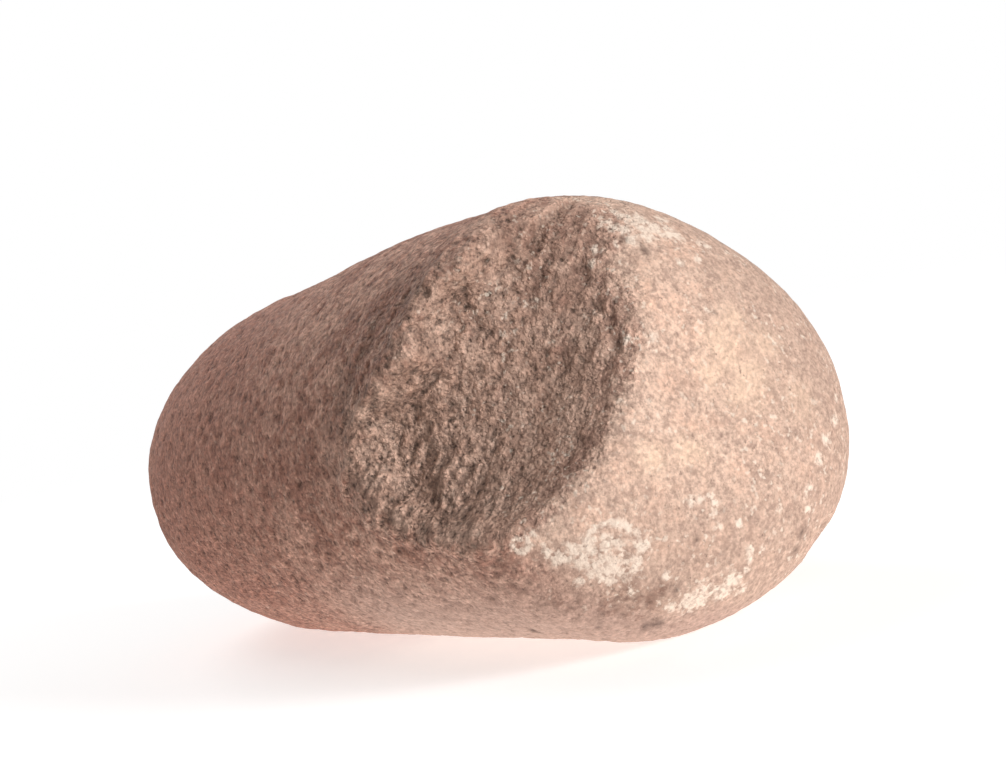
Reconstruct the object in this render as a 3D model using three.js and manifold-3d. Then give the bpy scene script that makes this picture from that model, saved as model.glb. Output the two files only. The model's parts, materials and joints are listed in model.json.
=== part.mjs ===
// A hand-held stone pestle: one elongated cobble with a worn working face at one end
// and a deep spall knocked off the edge of that face.
// Millimetres, +Z up. The pestle lies on its side, with +X along it towards the working face.

import * as THREE from "three";
import { mergeVertices } from "three/addons/utils/BufferGeometryUtils.js";
import Module from "manifold-3d";

const wasm = await Module();
wasm.setup();

// Driving sizes of the stone before anything is knocked off or worn flat.
// A round share of 1 makes a quarter round elliptic; less is squarer and more is more pointed.
const BODY = {
  length: 140,
  faceRadius: 36.5,
  taper: 8,
  faceFlatRadius: 10,
  rimDepth: 20,
  rimRoundShare: 1,
  buttDepth: 50,
  buttRoundShare: 0.95,
};

// The section is a little oval and a little three-sided, by these shares of the radius
const SECTION = {
  ovalShare: 0.04,
  ovalTurn: THREE.MathUtils.degToRad(-18),
  lobeShare: 0.013,
  lobeTurn: THREE.MathUtils.degToRad(-8),
};

// The working face is worn aslant: its top stands back, and its +Y side forward, by these
// shares of the distance from the axis. The slant dies out along the stone.
const SLANT = {
  topBackShare: 0.28,
  sideForwardShare: 0.15,
  reach: 80,
};

// Broad swells (+) and hollows (-) of the cobble. Along is from the working face,
// around is in degrees from +Y towards +Z, which is the top at 90.
const SWELLS = [
  { along: 52, around: 105, reach: 26, spread: 45, height: 1.6 },
  { along: 12, around: 42, reach: 14, spread: 26, height: -0.9 },
  { along: 10, around: -40, reach: 14, spread: 24, height: 0.7 },
  { along: 98, around: 195, reach: 24, spread: 40, height: -0.8 },
  { along: 90, around: 20, reach: 30, spread: 40, height: 0.8 },
];

// The spall. Its floor is a sheet over a plane that faces out of the edge of the working face.
// On that plane, run is measured back along the stone and climb up around it.
const SPALL = {
  fromFace: 20,
  sideways: -20.5,
  height: 46.5,
  turn: THREE.MathUtils.degToRad(56),
  rise: THREE.MathUtils.degToRad(9),
  halfRun: 25.5,
  halfClimb: 23,
  lift: 2.3,
  twist: 11.5,
  droop: 7,
  hollow: 5.4,
  deepestShare: 0.34,
  rippleHeight: 0.45,
  ripplePitch: 7,
  rippleTurn: THREE.MathUtils.degToRad(25),
  reachShare: 1.3,
};

// A small chip on the lower far edge of the working face
const CHIP = {
  around: THREE.MathUtils.degToRad(-60),
  edgeTurn: THREE.MathUtils.degToRad(35),
  ballRadius: 7,
  depth: 1.3,
};

// The underside is flat along one strip, on which the pestle rests without rolling
const REST = {
  depth: 0.9,
};

// How far cutters pass beyond what they cut
const OVERRUN = 30;

// Facets, by count
const MESH = {
  around: 60,
  rimSteps: 11,
  barrelSteps: 15,
  buttSteps: 14,
  spallSteps: 34,
  chipSteps: 16,
};

// The stone's axis lies at the height of the full radius, so the underside is level
function fullRadius(along) {
  return BODY.faceRadius - BODY.taper * (along / BODY.length);
}

// A quarter round from (0, 0) to (1, 1) that starts steep: how wide at this turn, and how far along
function quarterRound(turn, roundShare) {
  return {
    wide: Math.sin(turn) ** roundShare,
    along: 1 - Math.cos(turn) ** roundShare,
  };
}

// Radius and distance along, on the round edge of the working face
function rimPoint(turn) {
  const round = quarterRound(turn, BODY.rimRoundShare);
  const along = BODY.rimDepth * round.along;
  const widening = fullRadius(along) - BODY.faceFlatRadius;
  return new THREE.Vector2(BODY.faceFlatRadius + widening * round.wide, along);
}

// Half outline of the stone, from the centre of its face to the tip of its butt
function outline() {
  const points = [new THREE.Vector2(0, 0)];
  for (let i = 0; i <= MESH.rimSteps; i += 1) {
    points.push(rimPoint((i / MESH.rimSteps) * (Math.PI / 2)));
  }
  const barrel = BODY.length - BODY.rimDepth - BODY.buttDepth;
  for (let i = 1; i < MESH.barrelSteps; i += 1) {
    const along = BODY.rimDepth + barrel * (i / MESH.barrelSteps);
    points.push(new THREE.Vector2(fullRadius(along), along));
  }
  for (let i = MESH.buttSteps; i > 0; i -= 1) {
    const round = quarterRound((i / MESH.buttSteps) * (Math.PI / 2), BODY.buttRoundShare);
    const along = BODY.length - BODY.buttDepth * round.along;
    points.push(new THREE.Vector2(fullRadius(along) * round.wide, along));
  }
  points.push(new THREE.Vector2(0, BODY.length));
  return points;
}

function sectionShare(around) {
  const oval = SECTION.ovalShare * Math.cos(2 * (around - SECTION.ovalTurn));
  const lobe = SECTION.lobeShare * Math.cos(3 * (around - SECTION.lobeTurn));
  return 1 + oval + lobe;
}

// Total height of the swells at one place on the stone
function swell(along, around) {
  let total = 0;
  for (const bump of SWELLS) {
    const awayAlong = (along - bump.along) / bump.reach;
    const turned = around - THREE.MathUtils.degToRad(bump.around);
    const awayAround = Math.atan2(Math.sin(turned), Math.cos(turned))
      / THREE.MathUtils.degToRad(bump.spread);
    total += bump.height * Math.exp(-awayAlong * awayAlong - awayAround * awayAround);
  }
  return total;
}

// A point of the whole stone: along from the face, around the axis, at a radius
function stonePoint(along, around, radius) {
  const full = fullRadius(along);
  const grown = radius * sectionShare(around) + swell(along, around) * (radius / full);
  const side = grown * Math.cos(around);
  const up = grown * Math.sin(around);
  const slant = SLANT.sideForwardShare * side - SLANT.topBackShare * up;
  const fade = Math.max(0, 1 - along / SLANT.reach) ** 2;
  return new THREE.Vector3(BODY.length / 2 - along + slant * fade, side, full + up);
}

// A closed geometry with shared corners, as a solid that can be cut
function toSolid(geometry) {
  geometry.deleteAttribute("normal");
  geometry.deleteAttribute("uv");
  const merged = mergeVertices(geometry);
  const index = merged.getIndex().array;
  const corners = [];
  for (let i = 0; i < index.length; i += 3) {
    const [a, b, c] = [index[i], index[i + 1], index[i + 2]];
    if (a !== b && b !== c && c !== a) corners.push(a, b, c);
  }
  return new wasm.Manifold(new wasm.Mesh({
    numProp: 3,
    vertProperties: new Float32Array(merged.getAttribute("position").array),
    triVerts: new Uint32Array(corners),
  }));
}

function toGeometry(solid) {
  const mesh = solid.getMesh();
  const geometry = new THREE.BufferGeometry();
  geometry.setAttribute("position", new THREE.BufferAttribute(mesh.vertProperties, 3));
  geometry.setIndex(new THREE.BufferAttribute(mesh.triVerts, 1));
  geometry.computeVertexNormals();
  return geometry;
}

// The whole stone, turned from its outline and then made oval, swollen and slanted
function wholeStone() {
  const geometry = new THREE.LatheGeometry(outline(), MESH.around);
  const position = geometry.getAttribute("position");
  for (let i = 0; i < position.count; i += 1) {
    const radius = Math.hypot(position.getX(i), position.getZ(i));
    const around = radius === 0 ? 0 : Math.atan2(position.getZ(i), position.getX(i));
    const point = stonePoint(position.getY(i), around, radius);
    position.setXYZ(i, point.x, point.y, point.z);
  }
  return toSolid(geometry);
}

// Height of the spall's floor over its plane, at a run back along the stone and a climb around it
function spallFloor(run, climb) {
  const runShare = run / SPALL.halfRun;
  const climbShare = climb / SPALL.halfClimb;
  const fromEdge = THREE.MathUtils.clamp((runShare + 1) / 2, 0, 1);
  const lap = fromEdge ** (Math.log(1 / 2) / Math.log(SPALL.deepestShare));
  const bowl = Math.sin(Math.PI * lap) * Math.max(0, 1 - climbShare * climbShare);
  const across = run * Math.cos(SPALL.rippleTurn) + climb * Math.sin(SPALL.rippleTurn);
  const ripple = SPALL.rippleHeight * Math.sin((2 * Math.PI * across) / SPALL.ripplePitch);
  const sheet = SPALL.lift + SPALL.twist * runShare * climbShare
    - SPALL.droop * climbShare * Math.abs(climbShare);
  return sheet - (SPALL.hollow - ripple) * bowl;
}

// What the spall took away: a block whose underside is the spall's floor
function spallCutter() {
  const width = 2 * SPALL.halfRun * SPALL.reachShare;
  const depth = 2 * SPALL.halfClimb * SPALL.reachShare;
  const block = new THREE.BoxGeometry(width, depth, OVERRUN, MESH.spallSteps, MESH.spallSteps, 1);
  const position = block.getAttribute("position");
  for (let i = 0; i < position.count; i += 1) {
    const isFloor = position.getZ(i) < 0;
    position.setZ(i, isFloor ? spallFloor(-position.getX(i), position.getY(i)) : OVERRUN);
  }
  const normal = new THREE.Vector3(
    Math.cos(SPALL.rise) * Math.cos(SPALL.turn),
    -Math.cos(SPALL.rise) * Math.sin(SPALL.turn),
    Math.sin(SPALL.rise),
  );
  const climb = new THREE.Vector3().crossVectors(normal, new THREE.Vector3(1, 0, 0)).normalize();
  const forward = new THREE.Vector3().crossVectors(climb, normal);
  block.applyMatrix4(new THREE.Matrix4().makeBasis(forward, climb, normal));
  block.translate(BODY.length / 2 - SPALL.fromFace, SPALL.sideways, SPALL.height);
  return toSolid(block);
}

// A shallow bite out of the round edge, from a ball that stands off it
function chipCutter() {
  const onRim = rimPoint(CHIP.edgeTurn);
  const edge = stonePoint(onRim.y, CHIP.around, onRim.x);
  const inside = stonePoint(BODY.rimDepth, CHIP.around, BODY.faceFlatRadius);
  const outward = edge.clone().sub(inside).normalize();
  const place = edge.clone().addScaledVector(outward, CHIP.ballRadius - CHIP.depth);
  const ball = new THREE.SphereGeometry(CHIP.ballRadius, MESH.chipSteps, MESH.chipSteps);
  ball.translate(place.x, place.y, place.z);
  return toSolid(ball);
}

// Everything below the flat on which the pestle rests
function restCutter(stone) {
  const box = stone.boundingBox();
  const size = new THREE.Vector3(
    box.max[0] - box.min[0] + 2 * OVERRUN,
    box.max[1] - box.min[1] + 2 * OVERRUN,
    OVERRUN,
  );
  const slab = new THREE.BoxGeometry(size.x, size.y, size.z);
  slab.translate(0, 0, box.min[2] + REST.depth - size.z / 2);
  return toSolid(slab);
}

const stone = wholeStone();
const worn = stone.subtract(restCutter(stone)).subtract(spallCutter()).subtract(chipCutter());

// The origin is under the middle of the stone, on the surface it rests on
const geometry = toGeometry(worn);
geometry.computeBoundingBox();
const box = geometry.boundingBox;
geometry.translate(-(box.min.x + box.max.x) / 2, -(box.min.y + box.max.y) / 2, -box.min.z);

const stoneMaterial = new THREE.MeshStandardMaterial({
  color: new THREE.Color().setRGB(0.62, 0.49, 0.42, THREE.SRGBColorSpace),
  roughness: 0.9,
  metalness: 0,
});

const pestle = new THREE.Mesh(geometry, stoneMaterial);
pestle.name = "pestle_stone";

const part = new THREE.Group();
part.add(pestle);

export default part;
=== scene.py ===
# Looks of a hand-held stone pestle: a fine mesh of the stone, its finish, a plain studio and
# the camera. The part's frame is used throughout: +X along the stone towards its grinding
# face, -Y towards the spall, +Z up. The stone's sizes are in millimetres and become metres in
# to_mesh. Those of the studio are in metres.

import itertools
import json
import math

import bpy
import numpy as np
from mathutils import Matrix, Vector
from mathutils.kdtree import KDTree

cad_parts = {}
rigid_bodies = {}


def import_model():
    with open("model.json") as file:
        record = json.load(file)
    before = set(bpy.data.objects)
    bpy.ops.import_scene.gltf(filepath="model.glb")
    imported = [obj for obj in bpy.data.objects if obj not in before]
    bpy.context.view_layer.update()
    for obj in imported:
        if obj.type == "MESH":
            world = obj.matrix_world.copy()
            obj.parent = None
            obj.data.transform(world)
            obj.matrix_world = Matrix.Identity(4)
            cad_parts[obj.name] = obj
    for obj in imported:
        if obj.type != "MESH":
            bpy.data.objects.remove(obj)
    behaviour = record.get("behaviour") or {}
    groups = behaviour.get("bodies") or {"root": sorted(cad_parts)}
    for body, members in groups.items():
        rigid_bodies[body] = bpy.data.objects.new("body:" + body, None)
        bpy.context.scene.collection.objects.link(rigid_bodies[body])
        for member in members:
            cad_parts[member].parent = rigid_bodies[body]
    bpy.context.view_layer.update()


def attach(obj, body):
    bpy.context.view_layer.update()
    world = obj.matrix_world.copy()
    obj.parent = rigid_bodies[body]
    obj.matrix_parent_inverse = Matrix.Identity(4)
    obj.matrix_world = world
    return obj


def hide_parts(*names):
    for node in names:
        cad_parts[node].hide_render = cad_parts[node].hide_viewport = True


MM = 0.001

# Body of the stone, with the sizes of the solid that it replaces
BODY = {
    "length": 140.0,
    "face_radius": 36.5,
    "taper": 8.0,
    "face_flat_radius": 10.0,
    "rim_depth": 20.0,
    "rim_round_share": 1.0,
    "butt_depth": 50.0,
    "butt_round_share": 0.95,
}
SECTION = {
    "oval_share": 0.04,
    "oval_turn": math.radians(-18),
    "lobe_share": 0.013,
    "lobe_turn": math.radians(-8),
}
SLANT = {"top_back_share": 0.28, "side_forward_share": 0.15, "reach": 80.0}

# Broad swells: along from the face, around from +Y towards +Z in degrees, reach, spread, height
SWELLS = (
    (52.0, 105.0, 26.0, 45.0, 1.6),
    (12.0, 42.0, 14.0, 26.0, -0.9),
    (10.0, -40.0, 14.0, 24.0, 0.7),
    (98.0, 195.0, 24.0, 40.0, -0.8),
    (90.0, 20.0, 30.0, 40.0, 0.8),
)

# The spall's plane and floor. Run is back along the stone, climb is up around it.
SPALL = {
    "from_face": 20.0,
    "sideways": -20.5,
    "height": 46.5,
    "turn": math.radians(56),
    "rise": math.radians(9),
    "half_run": 25.5,
    "half_climb": 23.0,
    "lift": 2.3,
    "twist": 11.5,
    "droop": 7.0,
    "hollow": 5.4,
    "deepest_share": 0.34,
    "ripple_height": 0.15,
    "ripple_pitch": 7.0,
    "ripple_turn": math.radians(25),
    "edge_blend": 0.6,
    "soft_edge_blend": 3.6,
    "edge_reach": 1.4,
    "lip_width": 7.0,
    "border_wander": 1.7,
    "border_wander_size": 5.5,
}

# Looks of the break: each pair is where one starts and where it is full. Over is the height over
# the spall's floor, and back and face are how far inside those borders a place lies.
BREAK = {
    "soft_edge_climb": (3.0, 14.0),
    "rough_reach": 3.0,
    "rough_reach_above": 5.5,
    "rough_reach_climb": (-14.0, 0.0),
    "rough_back": (-7.5, 0.5),
    "rough_face": (-7.0, -1.5),
    "beside_share": 0.8,
    "beside_over": (-18.0, -3.0),
    "beside_back": (-17.0, -3.0),
    "beside_climb": (-8.0, 6.0),
    "fringe_inside": (-9.0, 0.0),
    "fringe_over": (-5.0, 0.0),
    "calm_share": 0.68,
    "calm_run": (7.0, -7.0),
    "calm_climb": (8.0, -4.0),
    "even_run": (10.0, -8.0),
}

# Borders of the spall as lines of (run, climb). It lies to the left of each. Most of these lines,
# and of the folds', were read from the photograph by eye as pixels, and a separate script turned
# them into places on the spall's plane. The rest were placed one by one. All are to half a
# millimetre.
BORDER_REACH = 6.0
BACK_BORDER = (
    (-3.0, -25.0), (0.0, -25.0), (4.0, -26.0), (8.5, -26.0), (13.0, -25.0), (16.0, -23.0), (20.0, -20.5),
    (22.5, -17.5), (24.5, -14.0), (25.0, -10.0), (24.5, -6.5), (23.0, -3.0), (20.0, 0.0), (17.5, 2.0),
    (16.0, 4.0), (13.5, 6.5), (12.0, 10.0), (11.0, 13.0), (9.5, 15.5), (6.5, 17.0), (3.5, 18.5),
    (1.5, 20.5), (-0.5, 25.0),
)
FACE_BORDER = (
    (-16.5, 26.0), (-16.0, 23.0), (-16.0, 21.0), (-14.5, 18.5), (-13.5, 15.0), (-14.5, 12.5),
    (-15.5, 10.0), (-17.5, 7.5), (-19.0, 4.0), (-18.5, 2.0), (-16.0, 0.5), (-15.0, -2.5), (-14.5, -4.5),
    (-13.5, -8.0), (-13.0, -10.5), (-11.5, -12.5), (-10.0, -14.5), (-8.5, -16.5), (-7.5, -18.5),
    (-5.5, -20.5), (-4.5, -22.0), (-2.0, -24.0),
)

# Chip in the lower edge of the face, bitten out by a ball, and the depth of the flat to rest on
CHIP = {"around": math.radians(-56), "edge_turn": math.radians(56), "radius": 9.5, "depth": 1.6}
REST_DEPTH = 0.9

# Net of quads: half the rings of a square end cap, the rings of the band between the caps, how
# much of the outline each cap covers, and how far the fine rings reach
NET = {
    "cap_rings": 56,
    "band_rings": 164,
    "face_cap": 35.0,
    "butt_cap": 42.0,
    "fine_reach": 98.0,
    "coarse_share": 2.2,
    "outline": 600,
}

# Camera: the photograph's angle on the stone, in the part's frame. Its near clip is in metres.
VIEW = {
    "azimuth": math.radians(51.92),
    "elevation": math.radians(6.44),
    "roll": math.radians(-14.33),
    "distance": 389.07,
    "aim": (7.51, 12.36, 37.53),
    "focal_px": 2300.0,
    "frame_px": 1006.0,
    "frame_high_px": 768.0,
    "sensor": 36.0,
    "clip_start": 0.01,
}

# Folds of the spall's floor. Each has the widths to the left and to the right of its line, a
# height, below 0 for a crease, and the line's places of (run, climb).
FOLDS = (
    (1.1, 0.9, -0.6, ((-12.5, 16.5), (-13.0, 15.0), (-14.0, 13.0))),
    (1.2, 0.9, -0.7, ((-15.5, 9.0), (-17.0, 7.0), (-18.0, 4.0), (-19.0, 2.5))),
    (2.6, 4.0, 0.5, (
        (2.0, 21.0), (3.0, 16.5), (3.5, 12.0), (6.5, 9.0), (9.5, 6.0), (13.0, 5.0), (16.0, 1.0),
        (20.0, -3.5), (22.0, -8.5), (21.5, -13.0), (19.0, -16.5),
    )),
    (1.7, 3.6, 0.6, (
        (-1.0, 10.5), (2.5, 6.0), (6.5, 2.0), (9.0, -1.5), (10.5, -5.0), (9.5, -8.0), (9.0, -11.0),
        (9.5, -13.5),
    )),
    (3.2, 2.6, -0.25, ((13.5, -3.0), (14.0, -10.5))),
    (0.9, 1.1, -1.1, ((-10.5, 25.0), (-8.0, 23.0), (-7.0, 22.0), (-6.5, 20.0), (-6.5, 18.0))),
    (1.2, 0.8, 1.2, ((-9.0, 25.5), (-8.0, 24.5), (-6.0, 22.0), (-5.5, 20.5))),
    (0.8, 0.8, 0.5, ((-7.5, 17.5), (-5.5, 15.5))),
    (5.0, 5.0, 0.8, ((21.0, -18.0), (15.5, -22.0), (8.5, -24.0), (1.0, -24.0), (-3.0, -24.0))),
    (0.8, 0.8, -0.7, ((3.0, 11.0), (2.5, 9.0), (1.0, 7.0))),
    (2.6, 2.4, 0.2, ((-14.0, 11.0), (-14.5, 7.5), (-16.0, 2.5))),
    (1.2, 1.0, 0.6, ((-2.0, -13.0), (-1.0, -15.5), (-1.0, -18.0))),
    (2.0, 2.8, 0.5, ((-7.0, 11.0), (-4.0, 4.0), (0.0, -3.0), (3.0, -8.5))),
    (1.8, 2.6, 0.35, ((-9.0, -4.0), (-5.0, -9.5), (-1.5, -14.5))),
    (1.1, 1.8, 0.7, ((0.5, 18.5), (2.0, 12.5), (3.0, 9.5))),
)

# Rough texture of the spall: bumps drawn out along the strokes of the break. Each layer has
# a length, a width and a height.
ROUGH = {
    "turn": math.radians(62),
    "layers": ((9.0, 4.0, 0.7), (5.2, 1.9, 0.64), (2.8, 1.3, 0.44)),
    "crease_share": 0.3,
}

# Noise: how many slopes its lattice repeats over, and the gain that brings it to about -1 to 1
LATTICE = 256
NOISE_GAIN = 1.7

# Seeds of the random patterns. The break's further layers take the numbers after its own.
SEEDS = {"break": 11, "border": 15, "face": 21, "dents": 41}

# Worn face: it is pale where the surface faces +X by more than these shares, at the stone's
# underside and top, give or take a wander
FACE = {
    "low_edge": 0.66,
    "high_edge": 0.42,
    "wander": 0.05,
    "wander_size": 6.0,
    "fade": 0.15,
    "far_share": 0.2,
    "far_side": (-8, 8),
    "smoothed_share": 0.55,
    "undented_share": 0.6,
}

# Relief of the whole stone, of its skin outside the spall and of the break. Each layer of bumps
# has a size, a height and a seed.
RELIEF = {
    "broad": ((24.0, 0.28, 31), (9.0, 0.12, 32)),
    "skin": ((2.5, 0.14, 33), (1.35, 0.06, 34)),
    "grit": ((1.3, 0.2, 35),),
}

# Bulges: rounds of smoothing, and the height over the smooth form that counts as full. The
# bulges also paint shade into hollows and dents, and lighten bumps.
HOLLOWS = {"rounds": 4, "full": 0.16}

# Pecked dents
DENTS = {"count": 3600, "radius": (0.7, 1.6), "depth": (0.1, 0.36)}

# Where the tone changes over the stone: each pair is where a change starts and where it is full.
# Each of these paints light or shade into the colour.
PLACES = {
    # Painted shade: the worn face greyer and darker towards +Y and low down
    "shade_side": (0, 24),
    "shade_side_share": 0.95,
    "shade_low": (28, 12),
    "shade_low_share": 0.9,
    # Painted light from below: the underside lighter, and smoother
    "belly_height": (24, 6),
    "belly_along": (-14, 16),
    # Painted shade and reddish reflected light: the sides darker and redder towards the butt
    "butt": (35, -40),
}

# Marks on the stone, each placed where the photograph shows it: pixels across and down, then
# a radius. Crust is thin pale mineral, and buff and warm stone are paler. The darker marks are
# partly stained stone and partly painted shade, in the hollow at the top of the spall and along
# its wall by the face.
# Rings of crust have a radius and a width.
MARKS = {
    "crust": (
        (533, 534, 0.8), (547, 552, 1.5), (560, 556, 1.8), (572, 548, 1.6), (582, 561, 2.3), (590, 548, 2.0),
        (600, 563, 2.6), (614, 567, 2.2), (625, 560, 1.8), (580, 580, 1.1), (590, 573, 1.7), (606, 545, 1.5),
        (642, 545, 1.6), (638, 536, 1.0), (672, 608, 1.2), (684, 603, 1.8), (696, 600, 2.4), (704, 594, 1.9),
        (716, 590, 1.8), (728, 583, 2.2), (737, 578, 1.7), (722, 596, 1.5), (690, 611, 1.1), (744, 588, 1.1),
        (751, 549, 1.0), (749, 558, 0.9), (745, 570, 0.9), (762, 550, 0.8), (667, 577, 1.1), (632, 592, 0.7),
        (654, 338, 1.1), (628, 339, 1.0), (642, 217, 0.8), (616, 245, 0.9), (680, 261, 0.8), (698, 261, 1.0),
        (708, 310, 0.8), (706, 246, 1.6), (680, 238, 1.2), (690, 502, 1.0), (701, 500, 0.8), (714, 502, 0.8),
        (718, 526, 0.8), (740, 524, 0.8), (780, 508, 0.9), (808, 488, 1.1), (808, 510, 1.0), (818, 460, 1.2),
        (826, 440, 1.3), (834, 420, 1.1), (836, 398, 0.9), (605, 222, 1.4), (615, 226, 1.5), (625, 229, 1.6),
        (620, 215, 1.8), (648, 236, 1.5), (640, 220, 2.2), (655, 228, 2.4), (668, 229, 2.0), (632, 240, 1.4),
        (595, 249, 0.8), (591, 262, 0.9), (630, 219, 1.7), (644, 228, 1.6), (662, 220, 1.4), (671, 234, 1.5),
    ),
    "warm": (
        (674, 516, 1.4), (661, 548, 1.3), (658, 492, 1.3), (622, 338, 1.6), (676, 250, 2.6), (690, 246, 2.4),
        (655, 300, 2.4), (676, 306, 2.2), (668, 380, 2.6), (700, 372, 2.4), (690, 330, 2.2), (620, 470, 2.0),
        (812, 446, 1.8), (700, 545, 1.8), (740, 470, 2.0), (682, 421, 1.7), (692, 425, 1.4), (807, 470, 1.9),
        (765, 430, 1.6), (738, 348, 1.8), (650, 285, 1.6),
    ),
    "buff": (
        (735, 352, 4.5), (752, 372, 4.5), (720, 338, 3.0), (735, 320, 2.6), (765, 345, 3.0), (745, 398, 3.0),
        (712, 372, 2.6), (690, 452, 2.6), (650, 458, 2.6), (800, 400, 3.0),
    ),
    # Partly stained stone, partly painted shade at the top of the spall and along its wall by the face
    "dull_and_painted_shade": (
        (581, 237, 3.4), (577, 222, 3.0), (587, 251, 2.6), (576, 271, 2.0), (584, 281, 1.8), (540, 246, 2.2),
        (538, 271, 2.4), (534, 291, 2.0), (560, 326, 2.4), (556, 346, 2.2), (611, 302, 1.3), (613, 320, 1.4),
        (549, 226, 1.8), (565, 240, 1.8), (562, 300, 1.6), (586, 442, 1.8), (570, 466, 2.0), (553, 490, 2.0),
        (404, 306, 1.6), (388, 338, 1.6), (470, 330, 1.2), (500, 390, 1.6), (440, 360, 1.3), (520, 470, 1.5),
        (384, 312, 2.6), (372, 331, 3.0), (361, 352, 3.2), (351, 376, 3.4), (343, 402, 3.2), (396, 286, 2.4),
        (334, 432, 3.0), (626, 594, 2.4), (645, 601, 2.6), (661, 592, 2.0), (640, 613, 2.4), (610, 606, 2.4),
        (330, 470, 2.5), (362, 500, 2.5), (565, 600, 2.4), (395, 332, 2.0), (404, 314, 1.8), (411, 297, 1.7),
        (386, 352, 2.0), (377, 368, 1.8), (424, 277, 1.5), (434, 262, 1.4), (420, 318, 1.0), (368, 392, 1.4),
        (406, 344, 1.0), (522, 222, 1.2), (519, 234, 1.3), (517, 246, 1.2), (530, 236, 3.0), (506, 242, 2.2),
        (508, 226, 2.2), (548, 252, 2.2), (572, 252, 2.8), (566, 230, 2.4),
    ),
    "dark": (
        (656, 624, 1.1), (645, 626, 0.9), (534, 631, 0.9), (598, 627, 0.6), (802, 532, 0.9), (796, 551, 0.8),
        (645, 251, 0.9), (624, 240, 0.7), (697, 540, 0.6), (676, 590, 0.6),
    ),
}
CRUST_RINGS = ((611, 553, 4.3, 0.8), (607, 551, 2.0, 0.6), (521, 545, 1.1, 0.7))
CRUST_RING_SHARE = 0.9

# Patterns of the finish. A cloud has a size, an offset, a level of detail and a roughness. Dots
# have a size, an offset and the share of places that hold one.
CLOUDS = {
    "broad": (9.0, 3.0, 3.0, 0.5),
    "patchy": (4.5, 17.0, 5.0, 0.62),
    "mottle": (1.7, 23.0, 4.0, 0.62),
    "fine": (0.8, 31.0, 4.0, 0.7),
    "speckle": (0.78, 37.0, 3.0, 0.7),
    "drift": (3.6, 57.0, 4.0, 0.6),
    "cluster": (6.0, 71.0, 2.0, 0.5),
    "pale fleck": (1.0, 79.0, 2.0, 0.5),
    "dark fleck": (0.9, 83.0, 3.0, 0.6),
    "lump": (1.5, 91.0, 1.0, 0.5),
}
DOTS = {
    "specks": ((1.05, 111.0, 0.45), (0.62, 117.0, 0.5)),
    "pits": ((1.2, 123.0, 0.3), (0.66, 129.0, 0.4)),
}
DOT = {"fade": 0.1, "edge": (0.1, 0.24)}

# The middle of a pattern that runs from 0 to 1
PATTERN_MIDDLE = 0.5

# Grain of the finish, how far its patterns stray, and the depth of its relief
GRAIN = {
    "stray_size": 1.6,
    "stray": 0.1,
    "size": 0.58,
    "offset": 97.0,
    "dome": 0.27,
    "darkest": 0.3,
    "specular": 0.35,
    "relief": 0.36,
}

# Sums of the finish: a start, which is a number or a part, then the parts added and their weights
SUMS = {
    "spall": ("spall", {"mottle": 8.0, "patchy": 6.0}),
    "brown": (0.0, {"broad": 0.6, "mottle": 0.9}),
    "blotch": ("mottle", {"patchy": 0.7, "speckle": 1.2}),
    "thin": ("fringe", {"mottle": -0.9}),
    "grain": (0.0, {"small grain": 0.6, "lumps": 1.3, "grit": 1.1}),
    # Painted shade: tone follows the relief, darker between grains, in pits and dents, lighter on bumps
    "tone": (
        1.0,
        {"grain tone": 0.2, "grain": 0.3, "grit": 0.85, "specks": 0.13, "pits": -0.18, "bulge": 0.24},
    ),
    "contrast": (1.62, {"rough": 0.3, "smoothed": -0.94, "even": -0.6}),
    # Painted shade: the face's tone darker where it is shaded
    "shaded tone": ("full tone", {"shaded face": -0.085}),
    "crust": (0.0, {"patchy": 0.5, "crust": 1.15, "mottle": 2.3, "grain number": 0.6}),
    "dotted grain": ("grain", {"dots": 0.28}),
    "strength": (0.5, {"rough": 0.75, "face": -0.2, "belly_painted_light": -0.22}),
    "coarse": ("rough", {"even": -0.65}),
    "height": ("skin", {"crusted": 0.15, "coarse lumps": 1.7}),
}

# Eased steps of the finish: from low to high, and the values at those two where not 0 and 1
STEPS = {
    "spall": (4.2, 10.2),
    "brown": (0.6, 0.9),
    "broken": (0.4, 0.6),
    "blotch": (1.2, 1.7),
    "drift": (0.5, 0.66, 0.0, 0.3),
    "warm": (0.35, 0.6, 0.0, 0.7),
    "buff": (0.35, 0.55, 0.4, 0.9),
    "thin": (-0.1, 0.5, 1.0, 0.45),
    "dull_and_painted_shade": (0.38, 0.6, 0.1, 0.92),
    "small grain": (0.0, 1.0, 0.2, 1.6),
    "crust": (2.1, 2.9),
    "crust worn": (0.35, 0.58, 0.62, 0.95),
    "cluster": (0.38, 0.6),
    "pale fleck": (0.58, 0.7),
    "pale on face": (0.0, 1.0, 0.1, 0.55),
    "dark fleck": (0.36, 0.24),
    "dark": (0.3, 0.5, 0.3, 1.3),
    "gloss": (0.3, 0.7, 0.74, 0.94),
}

# Shares of the finish: how fully each of these parts shows
SHARES = {"butt": 0.8, "belly_painted_light": 0.9, "shade": 0.55, "dark": 0.65}

# Sockets of a Mix node: its two colours, and the two mixed
MIX_FIRST = 6
MIX_SECOND = 7
MIX_RESULT = 2
WHITE = (1, 1, 1, 1)

# Studio: soft light from above and below, and a floor that fades into white
STUDIO = {
    "aim_height": 0.034,
    "fill_above": (0.33, 0.32, 0.315, 1.0),
    "fill_below": (2.8, 2.65, 2.55, 1.0),
    "fill_low": -1.0,
    "fill_high": -0.4,
    "floor_reach": 3.0,
    "floor_colour": (0.8, 0.8, 0.8, 1.0),
    "floor_glow": 0.5,
    "floor_near": 0.12,
    "floor_far": 0.4,
}

# Lamps: how far across, above and in front of the stone as seen, then distance, width and power
LAMPS = {
    "key": (0.66, 0.36, 0.66, 1.2, 0.32, 11.5),
    "back": (-0.6, 0.6, -0.5, 1.2, 0.8, 6.0),
}

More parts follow.
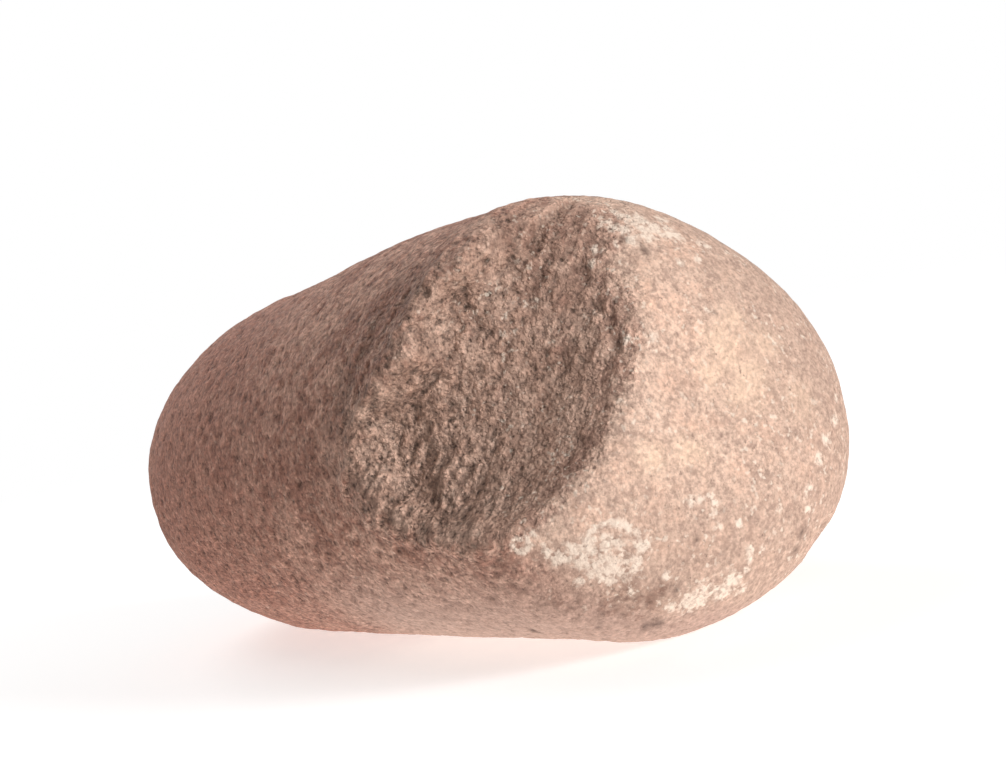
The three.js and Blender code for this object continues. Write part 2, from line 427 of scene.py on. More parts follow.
# The curve of sRGB colours
SRGB = {"top": 255, "straight_end": 0.04045, "straight": 12.92, "offset": 0.055, "power": 2.4}


def linear(red, green, blue):
    """An sRGB colour, 0 to 255 a channel, as the linear colour that a shader takes."""
    channels = []
    for channel in (red, green, blue):
        share = channel / SRGB["top"]
        if share <= SRGB["straight_end"]:
            channels.append(share / SRGB["straight"])
        else:
            channels.append(((share + SRGB["offset"]) / (1 + SRGB["offset"])) ** SRGB["power"])
    return (*channels, 1.0)


# Colours of the stone
TONES = {
    "side dark": linear(151, 109, 93),
    "side light": linear(200, 159, 140),
    # Painted light from below: the underside lighter
    "belly_painted_light": linear(194, 162, 147),
    # Painted shade and reddish reflected light towards the butt
    "butt": linear(168, 118, 102),
    "break dark": linear(167, 134, 117),
    "break light": linear(190, 157, 139),
    # Darker stone, also used as painted shade in the spall's hollows
    "dull_and_painted_shade": linear(132, 99, 85),
    # Grey of the face's blotches, and also the colour of its painted shade
    "face grey": linear(189, 158, 141),
    "face pale": linear(225, 192, 171),
    "face warm": linear(237, 193, 168),
    "face buff": linear(243, 208, 181),
    "crust": linear(244, 224, 206),
    "speck pale": linear(250, 234, 216),
    "speck dark": linear(96, 76, 68),
}


def full_radius(along):
    return BODY["face_radius"] - BODY["taper"] * along / BODY["length"]


def rim_outline(turn):
    """Radius and distance along, at each turn of the rim of the face."""
    along = BODY["rim_depth"] * (1 - np.cos(turn) ** BODY["rim_round_share"])
    flat = BODY["face_flat_radius"]
    radius = flat + (full_radius(along) - flat) * np.sin(turn) ** BODY["rim_round_share"]
    return radius, along


def outline_points(count):
    """Radius and distance along, from the centre of the face to the tip of the butt."""
    turn = np.linspace(0, math.pi / 2, count)
    rim_radius, rim_along = rim_outline(turn)
    back = turn[::-1]
    butt_round = 1 - np.cos(back) ** BODY["butt_round_share"]
    butt_along = BODY["length"] - BODY["butt_depth"] * butt_round
    butt_radius = full_radius(butt_along) * np.sin(back) ** BODY["butt_round_share"]
    radius = np.concatenate([[0], rim_radius, butt_radius])
    along = np.concatenate([[0], rim_along, butt_along])
    return radius, along


def section_share(around):
    oval = SECTION["oval_share"] * np.cos(2 * (around - SECTION["oval_turn"]))
    lobe = SECTION["lobe_share"] * np.cos(3 * (around - SECTION["lobe_turn"]))
    return 1 + oval + lobe


def swell(along, around):
    total = np.zeros_like(along)
    for place, turn, reach, spread, height in SWELLS:
        turned = around - math.radians(turn)
        away_around = np.arctan2(np.sin(turned), np.cos(turned)) / math.radians(spread)
        away_along = (along - place) / reach
        total += height * np.exp(-away_along**2 - away_around**2)
    return total


def stone_points(along, around, radius):
    """Points of the whole stone: along from the face, around the axis, at a radius."""
    full = full_radius(along)
    grown = radius * section_share(around) + swell(along, around) * radius / full
    side = grown * np.cos(around)
    up = grown * np.sin(around)
    slant = SLANT["side_forward_share"] * side - SLANT["top_back_share"] * up
    fade = np.clip(1 - along / SLANT["reach"], 0, None) ** 2
    x = BODY["length"] / 2 - along + slant * fade
    return np.stack([x, side, full + up], axis=-1)


def noise(points, size, seed):
    """Smooth noise, from about -1 to 1, whose bumps are about this size apart."""
    rng = np.random.default_rng(seed)
    shuffle = rng.permutation(LATTICE)
    slopes = rng.normal(size=(LATTICE, 3))
    slopes /= np.linalg.norm(slopes, axis=1, keepdims=True)
    at = points / np.asarray(size, float)
    low = np.floor(at).astype(int)
    part = at - low
    ease = part**3 * (part * (part * 6 - 15) + 10)
    total = np.zeros(len(points))
    for corner in itertools.product((0, 1), repeat=3):
        x, y, z = ((low + corner) % LATTICE).T
        pick = shuffle[(z + shuffle[(y + shuffle[x]) % LATTICE]) % LATTICE]
        weight = np.prod(np.where(corner, ease, 1 - ease), axis=1)
        total += weight * np.einsum("ij,ij->i", slopes[pick], part - corner)
    return total * NOISE_GAIN


def smooth_step(start, end, value):
    """0 at the start, 1 at the end, eased between them, whichever of the two is larger."""
    share = np.clip((value - start) / (end - start), 0, 1)
    return share * share * (3 - 2 * share)


def bumps(points, layers):
    """The height of layers of bumps."""
    return sum(height * noise(points, size, seed) for size, height, seed in layers)


def spall_axes():
    """Run, climb and normal of the spall's plane, and the plane's centre before the stone is seated."""
    turn, rise = SPALL["turn"], SPALL["rise"]
    normal = np.array([
        math.cos(rise) * math.cos(turn),
        -math.cos(rise) * math.sin(turn),
        math.sin(rise),
    ])
    climb = np.cross(normal, [1, 0, 0])
    climb /= np.linalg.norm(climb)
    run = -np.cross(climb, normal)
    centre = [BODY["length"] / 2 - SPALL["from_face"], SPALL["sideways"], SPALL["height"]]
    return run, climb, normal, np.array(centre)


def left_of(run, climb, line):
    """How far each place lies from a line in the spall's plane: above 0 to the left of it."""
    nearest = np.full(len(run), np.inf)
    for (run_a, climb_a), (run_b, climb_b) in itertools.pairwise(line):
        along_run, along_climb = run_b - run_a, climb_b - climb_a
        length = math.hypot(along_run, along_climb)
        share = ((run - run_a) * along_run + (climb - climb_a) * along_climb) / length**2
        share = np.clip(share, 0, 1)
        off_run = run - run_a - share * along_run
        off_climb = climb - climb_a - share * along_climb
        leftward = along_run * off_climb - along_climb * off_run > 0
        away = np.where(leftward, 1, -1) * np.hypot(off_run, off_climb)
        nearest = np.where(np.abs(away) < np.abs(nearest), away, nearest)
    return nearest


def fold_height(run, climb, fold):
    """Height that one fold adds: most on its line, and less away from it."""
    left_width, right_width, height, line = fold
    left = left_of(run, climb, line)
    share = left / np.where(left > 0, left_width, right_width)
    return height * np.exp(-share * share)


def rough_break(run, climb, seed):
    """Bumps of the break, drawn out along its strokes, with creases between them."""
    turn = ROUGH["turn"]
    long = climb * math.sin(turn) - run * math.cos(turn)
    wide = climb * math.cos(turn) + run * math.sin(turn)
    flat = np.stack([long, wide, np.zeros_like(run)], axis=-1)
    total = np.zeros(len(run))
    for layer, (length, width, height) in enumerate(ROUGH["layers"]):
        wave = noise(flat, (length, width, width), seed + layer)
        crease = 2 * np.abs(wave) - ROUGH["crease_share"]
        total += height * (wave * (1 - ROUGH["crease_share"]) + crease * ROUGH["crease_share"])
    return total


def spall_floor(run, climb):
    """Height of the spall's floor over its plane, as in the solid."""
    run_share = np.clip(run / SPALL["half_run"], -SPALL["edge_reach"], SPALL["edge_reach"])
    climb_share = np.clip(climb / SPALL["half_climb"], -SPALL["edge_reach"], SPALL["edge_reach"])
    from_edge = np.clip((run_share + 1) / 2, 0, 1)
    lap = from_edge ** (math.log(0.5) / math.log(SPALL["deepest_share"]))
    bowl = np.sin(math.pi * lap) * np.clip(1 - climb_share**2, 0, None)
    across = run * math.cos(SPALL["ripple_turn"]) + climb * math.sin(SPALL["ripple_turn"])
    ripple = SPALL["ripple_height"] * np.sin(2 * math.pi * across / SPALL["ripple_pitch"])
    sheet = SPALL["lift"] + SPALL["twist"] * run_share * climb_share
    sheet -= SPALL["droop"] * climb_share * np.abs(climb_share)
    sheet -= (SPALL["hollow"] - ripple) * bowl
    return sheet


def rough_share(climb, over, in_back, in_face):
    """How rough each place is: the break, and the skin beside its upper part."""
    reach_above = BREAK["rough_reach_above"] * smooth_step(*BREAK["rough_reach_climb"], climb)
    reach = BREAK["rough_reach"] + reach_above
    rough = smooth_step(0, 1, 1 + over / reach) * smooth_step(*BREAK["rough_back"], in_back)
    beside = smooth_step(*BREAK["beside_over"], over) * smooth_step(*BREAK["beside_back"], in_back)
    beside *= smooth_step(*BREAK["beside_climb"], climb)
    rough = np.maximum(rough, BREAK["beside_share"] * beside)
    return rough * smooth_step(*BREAK["rough_face"], in_face)


def break_off_spall(points):
    """The points with the spall knocked off, and masks: how far inside its border each one lies,
    how rough it is, the fringe just outside the border, and the evenly rough part."""
    run_axis, climb_axis, normal, centre = spall_axes()
    away = points - centre
    run, climb = away @ run_axis, away @ climb_axis
    over = away @ normal - spall_floor(run, climb)
    soft_run = smooth_step(0, -SPALL["half_run"] / 2, run)
    soft_edge = np.maximum(soft_run, smooth_step(*BREAK["soft_edge_climb"], climb))
    blend = SPALL["edge_blend"] + (SPALL["soft_edge_blend"] - SPALL["edge_blend"]) * soft_edge
    soft = np.clip(over + blend, 0, 2 * blend) ** 2 / (4 * blend)
    push = np.where(over > blend, over, soft)
    wander = SPALL["border_wander"] * noise(points, SPALL["border_wander_size"], SEEDS["border"])
    in_back = left_of(run, climb, BACK_BORDER) + wander
    in_face = left_of(run, climb, FACE_BORDER) + wander
    push *= smooth_step(0, SPALL["lip_width"], in_back)
    inside = np.minimum(np.minimum(in_back, in_face), over)
    rough = rough_share(climb, over, in_back, in_face)
    fringe = smooth_step(*BREAK["fringe_inside"], in_face)
    fringe *= smooth_step(*BREAK["fringe_inside"], in_back)
    fringe *= smooth_step(*BREAK["fringe_over"], over)
    forms = rough_break(run, climb, SEEDS["break"])
    for fold in FOLDS:
        forms += fold_height(run, climb, fold)
    # The break is smoother in its lower part near the face
    calm = smooth_step(*BREAK["calm_run"], run) * smooth_step(*BREAK["calm_climb"], climb)
    rise = rough * (1 - BREAK["calm_share"] * calm) * forms - push
    masks = {
        "spall": np.clip(inside, -BORDER_REACH, BORDER_REACH),
        "rough": rough,
        "fringe": fringe,
        "even": rough * smooth_step(*BREAK["even_run"], run),
    }
    return points + rise[:, None] * normal, masks


def bite_off_chip(points):
    """A shallow bite out of the round edge of the face, by a ball that stands off it."""
    rim_radius, rim_along = rim_outline(np.array([CHIP["edge_turn"]]))
    around = np.array([CHIP["around"]])
    edge = stone_points(rim_along, around, rim_radius)[0]
    depth, flat = np.array([BODY["rim_depth"]]), np.array([BODY["face_flat_radius"]])
    inside = stone_points(depth, around, flat)[0]
    outward = (edge - inside) / np.linalg.norm(edge - inside)
    ball = edge + outward * (CHIP["radius"] - CHIP["depth"])
    away = points - ball
    reach = np.linalg.norm(away, axis=1, keepdims=True)
    return np.where(reach < CHIP["radius"], ball + away / reach * CHIP["radius"], points)


def square_ring(i, j):
    """Ring number and angle of a place on a square net, so that its rings become circles."""
    ring = np.maximum(np.abs(i), np.abs(j))
    safe = np.maximum(ring, 1)
    quarter = math.pi / 4
    angle = np.where(i == ring, quarter * j / safe, 0.0)
    angle = np.where((j == ring) & (i != ring), 2 * quarter - quarter * i / safe, angle)
    left = (i == -ring) & (j != ring) & (i != ring)
    angle = np.where(left, 4 * quarter - quarter * j / safe, angle)
    bottom = (j == -ring) & (i != ring) & (i != -ring)
    angle = np.where(bottom, 6 * quarter + quarter * i / safe, angle)
    return ring, angle


def band_places(start, end, rows):
    """Where the band's inner rings lie: close together as far as the spall, then wider apart."""
    fine = NET["fine_reach"]
    shares = np.array([0, fine - start, fine - start + (end - fine) / NET["coarse_share"]])
    even = np.linspace(0, shares[-1], rows + 1)[1:-1]
    return np.interp(even, shares, [start, fine, end])


def stone_net():
    """The stone's points and quads: a square net on each end, joined by a band of rings."""
    radius, along = outline_points(NET["outline"])
    steps = np.hypot(np.diff(radius), np.diff(along))
    travelled = np.concatenate([[0], np.cumsum(steps)])
    half = NET["cap_rings"]
    rows = NET["band_rings"]
    cells = np.arange(-half, half + 1)
    i, j = (grid.ravel() for grid in np.meshgrid(cells, cells, indexing="ij"))
    ring, angle = square_ring(i, j)
    edge = 2 * half + 1
    side = 8 * half
    face_at = ring / half * NET["face_cap"]
    butt_at = travelled[-1] - ring / half * NET["butt_cap"]
    spans = band_places(NET["face_cap"], travelled[-1] - NET["butt_cap"], rows)
    band_at = np.repeat(spans, side)
    turns = np.arange(side) * 2 * math.pi / side
    band_angle = np.tile(turns, rows - 1)
    where = np.concatenate([face_at, band_at, butt_at])
    around = np.concatenate([angle, band_angle, angle])
    points = stone_points(
        np.interp(where, travelled, along), around, np.interp(where, travelled, radius)
    )
    # Corners of the caps' outer ring, in order around the axis
    border = np.flatnonzero(ring == half)
    border = border[np.argsort(np.mod(angle[border], 2 * math.pi), kind="stable")]
    caps = edge * edge
    loops = [border]
    for row in range(rows - 1):
        loops.append(caps + row * side + np.arange(side))
    loops.append(caps + (rows - 1) * side + border)
    quads = []
    for near, far in zip(loops[:-1], loops[1:]):
        quads.append(np.stack([near, far, np.roll(far, -1), np.roll(near, -1)], axis=-1))
    corner = (np.arange(edge - 1)[:, None] * edge + np.arange(edge - 1)).ravel()
    cap = np.stack([corner, corner + edge, corner + edge + 1, corner + 1], axis=-1)
    quads.append(cap)
    quads.append((cap + caps + (rows - 1) * side)[:, ::-1])
    return points, np.concatenate(quads)


def dent_surface(points, normals, roughness, seed):
    """Shallow pecked dents, each at a place picked where the stone is rough enough."""
    rng = np.random.default_rng(seed)
    tree = KDTree(len(points))
    for index, point in enumerate(points):
        tree.insert(point, index)
    tree.balance()
    sink = np.zeros(len(points))
    for index in rng.choice(len(points), DENTS["count"], replace=False):
        radius = rng.uniform(*DENTS["radius"])
        depth = rng.uniform(*DENTS["depth"]) * roughness[index]
        for _, near, away in tree.find_range(points[index], radius):
            share = away / radius
            sink[near] = max(sink[near], depth * (1 - share * share) ** 2)
    return points - normals * sink[:, None]


def net_normals(points, quads):
    corners = points[quads]
    faces = np.cross(corners[:, 2] - corners[:, 0], corners[:, 3] - corners[:, 1])
    normals = np.zeros_like(points)
    for corner in quads.T:
        np.add.at(normals, corner, faces)
    return normals / np.linalg.norm(normals, axis=1, keepdims=True)


def bulge(points, quads, normals):
    """How far each point stands out of its surroundings, from -1 in a pit to 1 on a bump."""
    ends = np.concatenate([quads[:, [0, 1]], quads[:, [1, 2]], quads[:, [2, 3]], quads[:, [3, 0]]])
    count = np.bincount(ends[:, 0], minlength=len(points))[:, None]
    smooth = points
    for _ in range(HOLLOWS["rounds"]):
        around = np.zeros_like(points)
        np.add.at(around, ends[:, 0], smooth[ends[:, 1]])
        smooth = (smooth + around / count) / 2
    stands = np.einsum("ij,ij->i", points - smooth, normals)
    return np.clip(stands / HOLLOWS["full"], -1, 1)


def view_axes():
    """The camera's right, up and back directions, and its place."""
    azimuth, elevation, roll = VIEW["azimuth"], VIEW["elevation"], VIEW["roll"]
    back = Vector((
        math.sin(azimuth) * math.cos(elevation),
        -math.cos(azimuth) * math.cos(elevation),
        math.sin(elevation),
    ))
    level = Vector((math.cos(azimuth), math.sin(azimuth), 0))
    upright = back.cross(level)
    right = math.cos(roll) * level + math.sin(roll) * upright
    up = -math.sin(roll) * level + math.cos(roll) * upright
    return right, up, back, Vector(VIEW["aim"]) + VIEW["distance"] * back


def away_from(across, down, points, normals):
    """How far each point lies from the place that the camera sees at a pixel of the photograph."""
    right, up, back, eye = (np.array(axis) for axis in view_axes())
    ray = right * (across - VIEW["frame_px"] / 2) + up * (VIEW["frame_high_px"] / 2 - down)
    ray = ray - back * VIEW["focal_px"]
    ray /= np.linalg.norm(ray)
    away = points - eye
    depth = away @ ray
    off = np.linalg.norm(away - depth[:, None] * ray, axis=1)
    off = np.where(np.einsum("ij,ij->i", normals, away) < 0, off, np.inf)
    seen = eye + ray * depth[np.argmin(off)]
    return np.linalg.norm(points - seen, axis=1)


def spots(points, normals, places):
    """Share of each point that soft round spots cover."""
    cover = np.zeros(len(points))
    for across, down, radius in places:
        away = away_from(across, down, points, normals) / radius
        cover = np.maximum(cover, np.exp(-away**2))
    return cover


def rings(points, normals, places):
    """Share of each point that soft rings cover. A ring has a radius and a width."""
    cover = np.zeros(len(points))
    for across, down, radius, width in places:
        away = away_from(across, down, points, normals)
        cover = np.maximum(cover, np.exp(-(((away - radius) / width) ** 2)))
    return cover


def add_object(name, data):
    thing = bpy.data.objects.new(name, data)
    bpy.context.scene.collection.objects.link(thing)
    return thing


def to_mesh(name, points, quads, masks):
    """A smooth mesh in metres that carries the masks, as an object."""
    mesh = bpy.data.meshes.new(name)
    mesh.from_pydata((points * MM).tolist(), [], quads.tolist())
    mesh.update()
    mesh.polygons.foreach_set("use_smooth", [True] * len(mesh.polygons))
    for label, values in masks.items():
        layer = mesh.attributes.new(label, "FLOAT", "POINT")
        layer.data.foreach_set("value", values.astype(np.float32))
    return add_object(name, mesh)


class Nodes:
    """The node tree of a material or world, and small steps to build it. Parts are outputs that
    are kept by name."""

    def __init__(self, owner):
        owner.use_nodes = True
        self.tree = owner.node_tree
        self.tree.nodes.clear()
        self.parts = {}

    def add(self, kind, inputs=(), **settings):
        """A node. Each input is a number, a colour, another node's output or the name of a part."""
        node = self.tree.nodes.new(kind)
        for setting, value in settings.items():
            setattr(node, setting, value)
        for label, value in dict(inputs).items():
            if isinstance(value, str):
                value = self.parts[value]
            if isinstance(value, bpy.types.NodeSocket):
                self.tree.links.new(value, node.inputs[label])
            else:
                node.inputs[label].default_value = value
        return node

    def sum(self, operation, first, second=0.0, third=0.0):
        """One step of arithmetic."""
        inputs = enumerate((first, second, third))
        return self.add("ShaderNodeMath", inputs, operation=operation).outputs[0]

    def times(self, first, second):
        return self.sum("MULTIPLY", first, second)

    def between(self, value, low, high, start=0.0, end=1.0):
        """From start at low to end at high, eased, and level beyond."""
        inputs = {"Value": value, "From Min": low, "From Max": high, "To Min": start, "To Max": end}
        node = self.add("ShaderNodeMapRange", inputs, interpolation_type="SMOOTHSTEP")
        return node.outputs["Result"]

    def blend(self, share, first, second, how="MIX"):
        """The first colour with a share of the second over it."""
        inputs = {"Factor": share, MIX_FIRST: first, MIX_SECOND: second}
        node = self.add("ShaderNodeMix", inputs, data_type="RGBA", blend_type=how)
        return node.outputs[MIX_RESULT]

    def mix_shaders(self, share, first, second):
        return self.add("ShaderNodeMixShader", enumerate((share, first, second))).outputs[0]

    def white_to_camera(self, seen, unseen):
        """One shader for what the camera and reflections see, and one that lights the stone."""
        path = self.add("ShaderNodeLightPath")
        either = path.outputs["Is Camera Ray"]
        for label in ("Is Glossy Ray", "Is Transmission Ray"):
            either = self.sum("MAXIMUM", either, path.outputs[label])
        return self.mix_shaders(either, unseen, seen)


class Finish(Nodes):
    """A material whose textures run in object space."""

    def __init__(self, name):
        self.material = bpy.data.materials.new(name)
        super().__init__(self.material)
        self.coords = self.add("ShaderNodeTexCoord").outputs["Object"]
        self.coords = self.strayed(GRAIN["stray_size"], GRAIN["stray"])

    def strayed(self, size, reach):
        """The coordinates pushed about by soft noise, so that no pattern looks regular."""
        inputs = {"Vector": self.coords, "Scale": 1 / (size * MM)}
        soft = self.add("ShaderNodeTexNoise", inputs).outputs["Color"]
        inputs = {0: soft, 1: [PATTERN_MIDDLE] * 3}
        centred = self.add("ShaderNodeVectorMath", inputs, operation="SUBTRACT").outputs[0]
        inputs = {0: centred, 1: [2 * reach * MM] * 3, 2: self.coords}
        return self.add("ShaderNodeVectorMath", inputs, operation="MULTIPLY_ADD").outputs[0]

    def shifted(self, offset):
        """The coordinates moved aside, so that patterns differ."""
        inputs = {"Vector": self.coords, "Location": [offset * MM] * 3}
        return self.add("ShaderNodeMapping", inputs).outputs["Vector"]

    def cloud(self, size, offset, detail, rough):
        """Soft noise from 0 to 1 with features of this size."""
        inputs = {"Vector": self.shifted(offset), "Scale": 1 / (size * MM), "Detail": detail}
        inputs["Roughness"] = rough
        return self.add("ShaderNodeTexNoise", inputs).outputs["Fac"]

    def grains(self, size, offset):
        """Rounded grains of this size: how high each place lies on its grain, and the grain's number."""
        inputs = {"Vector": self.shifted(offset), "Scale": 1 / (size * MM)}
        cells = self.add("ShaderNodeTexVoronoi", inputs).outputs
        number = self.add("ShaderNodeSeparateColor", {0: cells["Color"]}).outputs[0]
        square = self.times(cells["Distance"], cells["Distance"])
        return self.sum("MULTIPLY_ADD", square, -1.0, GRAIN["dome"]), number

    def dots(self, size, offset, share):
        """Round dots in this share of the cells: 1 in the middle of a dot, 0 outside."""
        height, number = self.grains(size, offset)
        picked = self.between(number, 1 - share, 1 + DOT["fade"] - share)
        return self.times(picked, self.between(height, *DOT["edge"]))

    def total(self, name):
        """The sum of this name in SUMS."""
        value, weights = SUMS[name]
        for part, weight in weights.items():
            value = self.sum("MULTIPLY_ADD", part, weight, value)
        return value

    def step(self, name, value):
        """A value put through the step of this name in STEPS."""
        return self.between(value, *STEPS[name])


def gather_parts(finish, masks):
    """Keeps the masks, clouds, dots and grains that the finish is made from."""
    parts = finish.parts
    for name in masks:
        parts[name] = finish.add("ShaderNodeAttribute", attribute_name=name).outputs["Fac"]
    for name, cloud in CLOUDS.items():
        parts[name] = finish.cloud(*cloud)
    for name, (larger, smaller) in DOTS.items():
        parts[name] = finish.sum("ADD", finish.dots(*larger), finish.dots(*smaller))
    height, parts["grain number"] = finish.grains(GRAIN["size"], GRAIN["offset"])
    parts["small grain"] = finish.times(height, finish.step("small grain", "grain number"))
    for name, pattern in (("lumps", "lump"), ("grit", "speckle"), ("grain tone", "grain number")):
        parts[name] = finish.sum("SUBTRACT", pattern, PATTERN_MIDDLE)
    parts["grain"] = finish.total("grain")
    parts["dots"] = finish.sum("SUBTRACT", "specks", "pits")
    worn = finish.times("face", finish.sum("SUBTRACT", 1.0, "fringe"))
    parts["smoothed"] = finish.sum("MAXIMUM", worn, finish.times("belly_painted_light", SHARES["belly_painted_light"]))
    # Painted shade on the face, which darkens its tone
    parts["shaded face"] = finish.times("shade", "face")
    # Crust is broken up at its edge and worn through in places
    crusted = finish.step("crust", finish.total("crust"))
    parts["crusted"] = finish.times(crusted, finish.step("crust worn", "speckle"))


def side_colour(finish):
    """The mottled reddish-brown sides, with painted shade at the butt and painted light underneath."""
    brown = finish.step("brown", finish.total("brown"))
    colour = finish.blend(brown, TONES["side dark"], TONES["side light"])
    # Painted shade and reddish reflected light at the butt, painted light underneath
    for name in ("butt", "belly_painted_light"):
        colour = finish.blend(finish.times(name, SHARES[name]), colour, TONES[name])
    return colour


def face_colour(finish):
    """The pale worn face: grey, pink and buff patches, and painted shade towards +Y and low down."""
    blotch = finish.step("blotch", finish.total("blotch"))
    colour = finish.blend(blotch, TONES["face grey"], TONES["face pale"])
    warm = finish.times("warm", finish.step("warm", "mottle"))
    pink = finish.sum("MAXIMUM", finish.step("drift", "drift"), warm)
    colour = finish.blend(pink, colour, TONES["face warm"])
    buff = finish.times("buff", finish.step("buff", "patchy"))
    colour = finish.blend(buff, colour, TONES["face buff"])
    # Painted shade: the face greyer towards +Y and low down
    return finish.blend(finish.times("shade", SHARES["shade"]), colour, TONES["face grey"])


def plain_colour(finish):
    """Sides, worn face, break, and darker marks of stain and painted shade, before the grain."""
    # Close to the spall the wear is thinner, so the brown of the stone shows through
    worn = finish.times("face", finish.step("thin", finish.total("thin")))
    colour = finish.blend(worn, side_colour(finish), face_colour(finish))
    patchy = finish.step("broken", "patchy")
    broken = finish.blend(patchy, TONES["break dark"], TONES["break light"])
    colour = finish.blend(finish.step("spall", finish.total("spall")), colour, broken)
    # Darker marks: partly stain, partly painted shade in the spall's hollows
    dull_and_painted_shade = finish.times("dull_and_painted_shade", finish.step("dull_and_painted_shade", "mottle"))
    return finish.blend(dull_and_painted_shade, colour, TONES["dull_and_painted_shade"])


def grain_and_painted_shade(finish):
    """The grain as a grey: each grain has its own tone, with painted shade between grains and in pits and
    dents.
    """
    change = finish.sum("SUBTRACT", finish.total("tone"), 1.0)
    finish.parts["full tone"] = finish.sum("MULTIPLY_ADD", change, finish.total("contrast"), 1.0)
    # Painted shade: the tone darker where the face is shaded
    tone = finish.sum("MAXIMUM", finish.total("shaded tone"), GRAIN["darkest"])
    return finish.add("ShaderNodeCombineColor", enumerate([tone] * 3)).outputs[0]


def add_flecks(finish, colour):
    """Pale and dark flecks in loose clusters, and the dark marks."""
    clustered = finish.times(finish.step("pale fleck", "pale fleck"), finish.step("cluster", "cluster"))
    pale = finish.times(clustered, finish.step("pale on face", "face"))
    colour = finish.blend(pale, colour, TONES["speck pale"])
    marks = finish.times("dark", finish.step("dark", "mottle"))
    dark = finish.sum("MAXIMUM", finish.step("dark fleck", "dark fleck"), marks)
    return finish.blend(finish.times(dark, SHARES["dark"]), colour, TONES["speck dark"])


def relief_bump(finish):
    """Small relief of the grain, crust and break, as a shading normal."""
    finish.parts["skin"] = finish.times(finish.total("dotted grain"), finish.total("strength"))
    finish.parts["coarse lumps"] = finish.times("lumps", finish.total("coarse"))
    inputs = {"Strength": 1.0, "Distance": GRAIN["relief"] * MM, "Height": finish.total("height")}
    return finish.add("ShaderNodeBump", inputs).outputs["Normal"]


def stone_finish(masks):
    """Fine-grained brown stone: reddish sides, a grey-brown break, a pale worn face and crust."""
    finish = Finish("pestle stone")
    gather_parts(finish, masks)
    colour = finish.blend(1.0, plain_colour(finish), grain_and_painted_shade(finish), "MULTIPLY")
    colour = finish.blend("crusted", colour, TONES["crust"])
    shader = finish.add("ShaderNodeBsdfPrincipled", {
        "Base Color": add_flecks(finish, colour),
        "Roughness": finish.step("gloss", "fine"),
        "Normal": relief_bump(finish),
        "Specular IOR Level": GRAIN["specular"],
    })
    finish.add("ShaderNodeOutputMaterial", {"Surface": shader.outputs[0]})
    return finish.material


def make_camera():
    """The camera. Returns its right, up and back directions."""
    right, up, back, eye = view_axes()
    matrix = Matrix((right, up, back)).transposed().to_4x4()
    matrix.translation = eye * MM
    data = bpy.data.cameras.new("camera")
    data.sensor_width = VIEW["sensor"]
    data.lens = VIEW["focal_px"] / VIEW["frame_px"] * VIEW["sensor"]
    data.clip_start = VIEW["clip_start"]
    camera = add_object("camera", data)
    camera.matrix_world = matrix
    bpy.context.scene.camera = camera
    return right, up, back


def make_softbox(name, towards, distance, width, power):
    """A square lamp that stands off the stone's middle in one direction and faces it."""
    data = bpy.data.lights.new(name, "AREA")
    data.shape = "SQUARE"
    data.size = width
    data.energy = power
    lamp = add_object(name, data)
    middle = Vector((0, 0, STUDIO["aim_height"]))
    lamp.location = middle + towards.normalized() * distance
    lamp.rotation_euler = towards.to_track_quat("Z", "Y").to_euler()


def make_world():
    """White to the camera. Its light on the stone is soft, and stronger from below."""
    world = bpy.data.worlds.new("studio")
    nodes = Nodes(world)
    seen = nodes.add("ShaderNodeBackground", {"Color": WHITE})
    place = nodes.add("ShaderNodeTexCoord").outputs["Generated"]
    height = nodes.add("ShaderNodeSeparateXYZ", {0: place}).outputs["Z"]
    share = nodes.between(height, STUDIO["fill_low"], STUDIO["fill_high"])
    fill = nodes.blend(share, STUDIO["fill_below"], STUDIO["fill_above"])
    unseen = nodes.add("ShaderNodeBackground", {"Color": fill})
    mixed = nodes.white_to_camera(seen.outputs[0], unseen.outputs[0])
    nodes.add("ShaderNodeOutputWorld", {"Surface": mixed})
    bpy.context.scene.world = world


def floor_finish():
    """Matt and pale, a little lighter to the camera than it lights the stone."""
    material = bpy.data.materials.new("pale floor")
    nodes = Nodes(material)
    matt = nodes.add("ShaderNodeBsdfDiffuse", {"Color": STUDIO["floor_colour"]}).outputs[0]
    glow = nodes.add("ShaderNodeEmission", {"Strength": STUDIO["floor_glow"]}).outputs[0]
    near = nodes.add("ShaderNodeAddShader", {0: matt, 1: glow}).outputs[0]
    # Away from the stone and its shadow the floor turns into the white of the backdrop
    place = nodes.add("ShaderNodeNewGeometry").outputs["Position"]
    away = nodes.add("ShaderNodeVectorMath", {0: place}, operation="LENGTH").outputs["Value"]
    fade = nodes.between(away, STUDIO["floor_near"], STUDIO["floor_far"])
    far = nodes.add("ShaderNodeEmission").outputs[0]
    mixed = nodes.white_to_camera(nodes.mix_shaders(fade, near, far), matt)
    nodes.add("ShaderNodeOutputMaterial", {"Surface": mixed})
    return material


def make_floor():
    """A plain pale floor."""
    reach = STUDIO["floor_reach"]
    mesh = bpy.data.meshes.new("floor")
    corners = [(-reach, -reach, 0), (reach, -reach, 0), (reach, reach, 0), (-reach, reach, 0)]
    mesh.from_pydata(corners, [], [(0, 1, 2, 3)])
    mesh.materials.append(floor_finish())
    floor = add_object("floor", mesh)
    # The pale surroundings light the stone from below too, so the floor doesn't shade it
    floor.visible_diffuse = False


def seated(points):
    """The points moved so that the stone rests on the floor with its middle over the origin."""
    low = points[:, 2].min() + REST_DEPTH
    middle = (points.min(0) + points.max(0)) / 2
    return points - np.array([middle[0], middle[1], low])


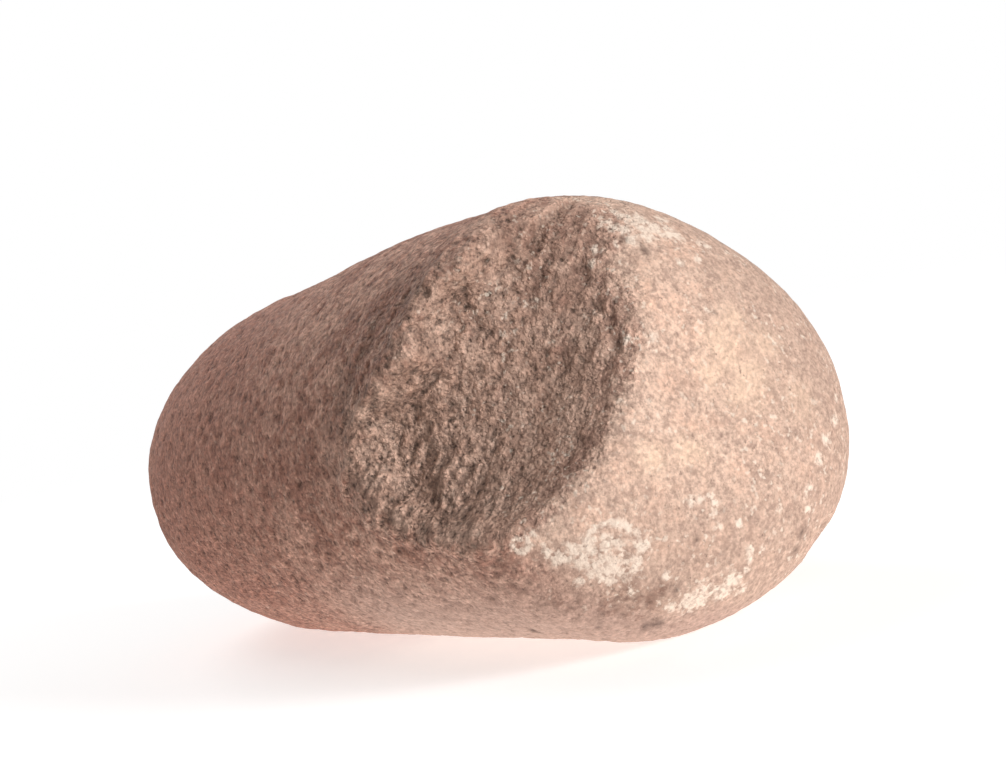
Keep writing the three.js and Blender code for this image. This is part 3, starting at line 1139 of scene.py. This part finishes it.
def worn_share(points, facing):
    """Where the stone is worn to a face, from how far its whole surface faces +X."""
    height_share = smooth_step(0, 1, points[:, 2] / points[:, 2].max())
    edge = FACE["low_edge"] + (FACE["high_edge"] - FACE["low_edge"]) * height_share
    edge += FACE["wander"] * noise(points, FACE["wander_size"], SEEDS["face"])
    edge -= FACE["far_share"] * smooth_step(*FACE["far_side"], points[:, 1])
    return smooth_step(-FACE["fade"], FACE["fade"], facing - edge)


def add_relief(points, normals, masks):
    """The points with broad unevenness, a pecked and dented skin, and grit on the break."""
    face, rough, fringe = masks["face"], masks["rough"], masks["fringe"]
    relief, skin, grit = (bumps(points, RELIEF[name]) for name in ("broad", "skin", "grit"))
    worn = face * (1 - fringe)
    relief += skin * (1 - FACE["smoothed_share"] * worn) * (1 - rough) + grit * rough
    points = points + normals * relief[:, None]
    dented = (1 - rough) * (1 - FACE["undented_share"] * face)
    points = dent_surface(points, normals, dented, SEEDS["dents"])
    points[:, 2] = np.maximum(points[:, 2], 0)
    return points


def finish_masks(points, quads, normals):
    """Finish masks: painted shade on face and butt, bulges, painted light below, the photograph's marks."""
    along, side, up = points.T
    shade_side = PLACES["shade_side_share"] * smooth_step(*PLACES["shade_side"], side)
    shade_low = PLACES["shade_low_share"] * smooth_step(*PLACES["shade_low"], up)
    # Painted light from below: lighter on the underside
    belly_painted_light = smooth_step(*PLACES["belly_height"], up) * smooth_step(*PLACES["belly_along"], along)
    masks = {
        "shade": np.maximum(shade_side, shade_low),
        "bulge": bulge(points, quads, normals),
        "belly_painted_light": belly_painted_light,
        # Painted shade and reddish reflected light towards the butt
        "butt": smooth_step(*PLACES["butt"], along),
    }
    for label, places in MARKS.items():
        masks[label] = spots(points, normals, places)
    ringed = CRUST_RING_SHARE * rings(points, normals, CRUST_RINGS)
    masks["crust"] = np.maximum(masks["crust"], ringed)
    return masks


def make_stone():
    """The stone as one fine mesh with its finish, in place of the plain solid."""
    points, quads = stone_net()
    facing = net_normals(points, quads)[:, 0]
    points, masks = break_off_spall(points)
    points = seated(bite_off_chip(points))
    masks["face"] = worn_share(points, facing)
    normals = net_normals(points, quads)
    points = add_relief(points, normals, masks)
    masks.update(finish_masks(points, quads, normals))
    stone = to_mesh("stone", points, quads, masks)
    stone.data.materials.append(stone_finish(masks))
    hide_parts("pestle_stone")
    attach(stone, "root")


for thing in list(bpy.data.objects):
    bpy.data.objects.remove(thing)
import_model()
bpy.context.scene.view_settings.view_transform = "Standard"
make_stone()
make_floor()
make_world()
right, up, back = make_camera()
for name, (across, above, before, distance, width, power) in LAMPS.items():
    make_softbox(name, across * right + above * up + before * back, distance, width, power)
